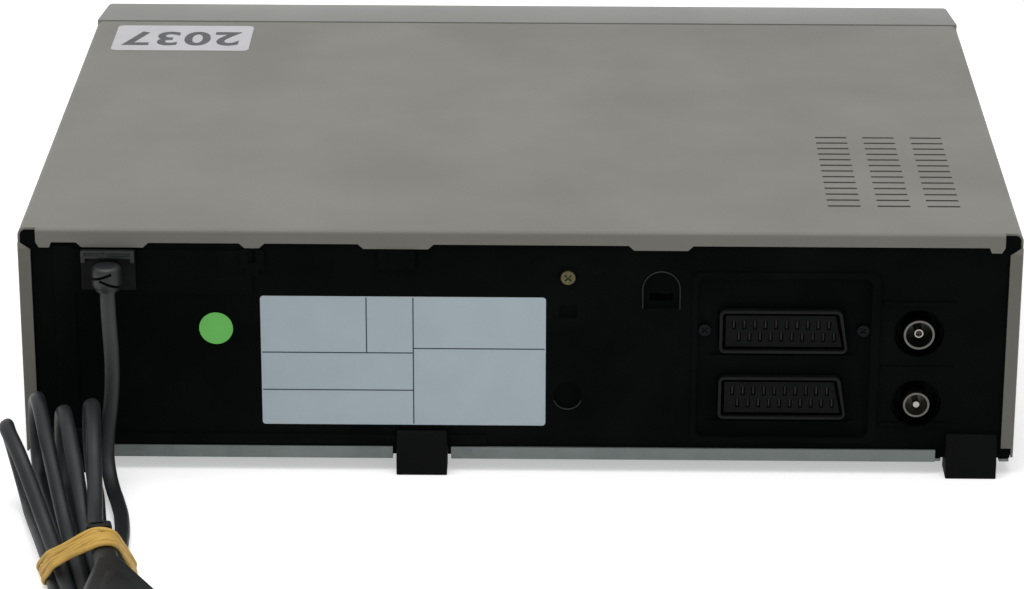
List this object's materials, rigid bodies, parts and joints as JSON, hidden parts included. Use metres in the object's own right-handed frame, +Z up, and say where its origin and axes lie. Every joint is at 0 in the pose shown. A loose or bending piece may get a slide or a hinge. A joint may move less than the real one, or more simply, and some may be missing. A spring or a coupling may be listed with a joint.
{
  "type": "video cassette recorder",
  "caption": "Video cassette recorder with a steel cover, rear sockets, a tied mains lead, sprung buttons, a cassette flap, a lowering tray and a working tape deck.",
  "frame": {"origin": "middle of the case on the surface it stands on, leaving out the mains lead", "axes": "+X to the right seen from the front, on the mains lead's side; +Y to the rear panel; +Z up"},
  "size_m": [0.3657, 0.546, 0.0936],
  "materials": {
    "cover_paint": "satin",
    "black_moulding": "matte",
    "zinc_plate": "satin",
    "passivated_screw": "satin",
    "fascia_moulding": "satin",
    "button_moulding": "satin",
    "record_moulding": "satin",
    "smoked_window": "gloss",
    "display_glass": "gloss",
    "circuit_board": "matte",
    "rating_film": "satin",
    "green_sticker": "matte",
    "paper_sticker": "matte",
    "socket_moulding": "satin",
    "insert_moulding": "matte",
    "contact_metal": "satin",
    "tinned_can": "satin",
    "nickel_sleeve": "satin",
    "relief_moulding": "satin",
    "lead_pvc": "satin",
    "plug_pvc": "satin",
    "pin_metal": "satin",
    "band_rubber": "matte",
    "transformer_core": "matte",
    "drum_alloy": "polished",
    "turned_steel": "polished",
    "motor_steel": "satin",
    "head_metal": "satin",
    "reel_moulding": "satin",
    "roller_rubber": "matte"
  },
  "bodies": {
    "case": {"top_cover": "cover_paint", "chassis_frame": "black_moulding", "rear_panel": "black_moulding", "bottom_plate": "zinc_plate", "feet": "black_moulding", "screws": "passivated_screw", "front_fascia": "fascia_moulding", "display_window": "smoked_window", "front_board": "circuit_board", "display_tube": "display_glass", "rating_label": "rating_film", "round_sticker": "green_sticker", "number_sticker": "paper_sticker", "upper_scart": "socket_moulding", "lower_scart": "socket_moulding", "scart_inserts": "insert_moulding", "scart_contacts": "contact_metal", "modulator_can": "tinned_can", "aerial_sleeves": "nickel_sleeve", "aerial_contacts": "contact_metal", "strain_relief": "relief_moulding", "mains_cord": "lead_pvc", "cord_hank": "lead_pvc", "mains_plug": "plug_pvc", "plug_pins": "pin_metal", "cord_band": "band_rubber", "main_board": "circuit_board", "power_board": "circuit_board", "transformer": "transformer_core", "deck_plate": "zinc_plate", "tray_rails": "zinc_plate", "lower_drum": "drum_alloy", "deck_motors": "motor_steel", "tape_heads": "head_metal"},
    "flap": {"cassette_flap": "fascia_moulding"},
    "upper_drum": {"upper_drum": "drum_alloy"},
    "capstan": {"capstan": "turned_steel"},
    "supply_reel": {"supply_reel": "reel_moulding"},
    "takeup_reel": {"takeup_reel": "reel_moulding"},
    "idler_arm": {"idler_arm": "reel_moulding"},
    "idler_wheel": {"idler_wheel": "roller_rubber"},
    "pinch_arm": {"pinch_arm": "turned_steel"},
    "pinch_roller": {"pinch_roller": "roller_rubber"},
    "tension_arm": {"tension_arm": "turned_steel"},
    "supply_guide": {"supply_guide": "turned_steel"},
    "takeup_guide": {"takeup_guide": "turned_steel"},
    "cam_gear": {"cam_gear": "reel_moulding"},
    "motor_pinion": {"motor_pinion": "reel_moulding"},
    "tray_slider": {"tray_slider": "zinc_plate"},
    "cassette_tray": {"cassette_tray": "zinc_plate"},
    "power_button": {"power_button": "button_moulding"},
    "eject_button": {"eject_button": "button_moulding"},
    "play_button": {"play_button": "button_moulding"},
    "stop_button": {"stop_button": "button_moulding"},
    "rewind_button": {"rewind_button": "button_moulding"},
    "forward_button": {"forward_button": "button_moulding"},
    "record_button": {"record_button": "record_moulding"},
    "pause_button": {"pause_button": "button_moulding"},
    "channel_up_button": {"channel_up_button": "button_moulding"},
    "channel_down_button": {"channel_down_button": "button_moulding"}
  },
  "joints": [
    {"name": "flap_hinge", "type": "hinge", "parent": "case", "child": "flap", "pos_m": [0, -0.137, 0.0878], "axis": [1, 0, 0], "range_deg": [0, 82], "stiffness_Nm_per_rad": 0.02, "springref_deg": -17.19},
    {"name": "power_press", "type": "slide", "parent": "case", "child": "power_button", "axis": [0, 1, 0], "range_m": [0, 0.001], "stiffness_N_per_m": 250, "springref_m": -0.0006},
    {"name": "eject_press", "type": "slide", "parent": "case", "child": "eject_button", "axis": [0, 1, 0], "range_m": [0, 0.001], "stiffness_N_per_m": 250, "springref_m": -0.0006},
    {"name": "play_press", "type": "slide", "parent": "case", "child": "play_button", "axis": [0, 1, 0], "range_m": [0, 0.001], "stiffness_N_per_m": 250, "springref_m": -0.0006},
    {"name": "stop_press", "type": "slide", "parent": "case", "child": "stop_button", "axis": [0, 1, 0], "range_m": [0, 0.001], "stiffness_N_per_m": 250, "springref_m": -0.0006},
    {"name": "rewind_press", "type": "slide", "parent": "case", "child": "rewind_button", "axis": [0, 1, 0], "range_m": [0, 0.001], "stiffness_N_per_m": 250, "springref_m": -0.0006},
    {"name": "forward_press", "type": "slide", "parent": "case", "child": "forward_button", "axis": [0, 1, 0], "range_m": [0, 0.001], "stiffness_N_per_m": 250, "springref_m": -0.0006},
    {"name": "record_press", "type": "slide", "parent": "case", "child": "record_button", "axis": [0, 1, 0], "range_m": [0, 0.001], "stiffness_N_per_m": 250, "springref_m": -0.0006},
    {"name": "pause_press", "type": "slide", "parent": "case", "child": "pause_button", "axis": [0, 1, 0], "range_m": [0, 0.001], "stiffness_N_per_m": 250, "springref_m": -0.0006},
    {"name": "channel_up_press", "type": "slide", "parent": "case", "child": "channel_up_button", "axis": [0, 1, 0], "range_m": [0, 0.001], "stiffness_N_per_m": 250, "springref_m": -0.0006},
    {"name": "channel_down_press", "type": "slide", "parent": "case", "child": "channel_down_button", "axis": [0, 1, 0], "range_m": [0, 0.001], "stiffness_N_per_m": 250, "springref_m": -0.0006},
    {"name": "drum_spin", "type": "hinge", "parent": "case", "child": "upper_drum", "pos_m": [-0.003, 0.0735, 0.0352], "axis": [0, 0, 1], "continuous": true},
    {"name": "capstan_spin", "type": "hinge", "parent": "case", "child": "capstan", "pos_m": [0.058, 0.0515, 0.0352], "axis": [0, 0, 1], "continuous": true},
    {"name": "supply_reel_spin", "type": "hinge", "parent": "case", "child": "supply_reel", "pos_m": [-0.046, -0.0225, 0.0352], "axis": [0, 0, 1], "continuous": true},
    {"name": "takeup_reel_spin", "type": "hinge", "parent": "case", "child": "takeup_reel", "pos_m": [0.046, -0.0225, 0.0352], "axis": [0, 0, 1], "continuous": true},
    {"name": "idler_swing", "type": "hinge", "parent": "case", "child": "idler_arm", "pos_m": [0, 0.0135, 0.0352], "axis": [0, 0, 1], "range_deg": [-19, 19]},
    {"name": "idler_wheel_spin", "type": "hinge", "parent": "idler_arm", "child": "idler_wheel", "pos_m": [0, -0.0165, 0.0352], "axis": [0, 0, 1], "continuous": true},
    {"name": "pinch_swing", "type": "hinge", "parent": "case", "child": "pinch_arm", "pos_m": [0.08, 0.0595, 0.0352], "axis": [0, 0, 1], "range_deg": [-35, 0], "stiffness_Nm_per_rad": 0.004, "springref_deg": 17.19},
    {"name": "pinch_roller_spin", "type": "hinge", "parent": "pinch_arm", "child": "pinch_roller", "pos_m": [0.07637, 0.03578, 0.0352], "axis": [0, 0, 1], "continuous": true},
    {"name": "tension_swing", "type": "hinge", "parent": "case", "child": "tension_arm", "pos_m": [-0.08, 0.0155, 0.0352], "axis": [0, 0, 1], "range_deg": [-10, 14], "stiffness_Nm_per_rad": 0.003},
    {"name": "cam_turn", "type": "hinge", "parent": "case", "child": "cam_gear", "pos_m": [-0.076, 0.0895, 0.0352], "axis": [0, 0, 1], "range_deg": [0, 270]},
    {"name": "pinion_turn", "type": "hinge", "parent": "case", "child": "motor_pinion", "pos_m": [-0.08352, 0.06883, 0.0352], "axis": [0, 0, 1], "range_deg": [-720.5, 0.5]},
    {"name": "supply_guide_slide", "type": "slide", "parent": "case", "child": "supply_guide", "axis": [-0.19, 0.9818, 0], "range_m": [0, 0.063]},
    {"name": "takeup_guide_slide", "type": "slide", "parent": "case", "child": "takeup_guide", "axis": [0.19, 0.9818, 0], "range_m": [0, 0.063]},
    {"name": "tray_in", "type": "slide", "parent": "case", "child": "tray_slider", "axis": [0, 1, 0], "range_m": [0, 0.048]},
    {"name": "tray_lower", "type": "slide", "parent": "tray_slider", "child": "cassette_tray", "axis": [0, 0, -1], "range_m": [0, 0.015]}
  ],
  "couplings": [
    {"joint": "pinion_turn", "follows": "cam_turn", "ratio": -2.6667},
    {"joint": "supply_guide_slide", "follows": "cam_turn", "m_per_rad": 0.013369},
    {"joint": "takeup_guide_slide", "follows": "cam_turn", "m_per_rad": 0.013369},
    {"joint": "tray_lower", "follows": "tray_in", "ratio": 0.3125}
  ]
}
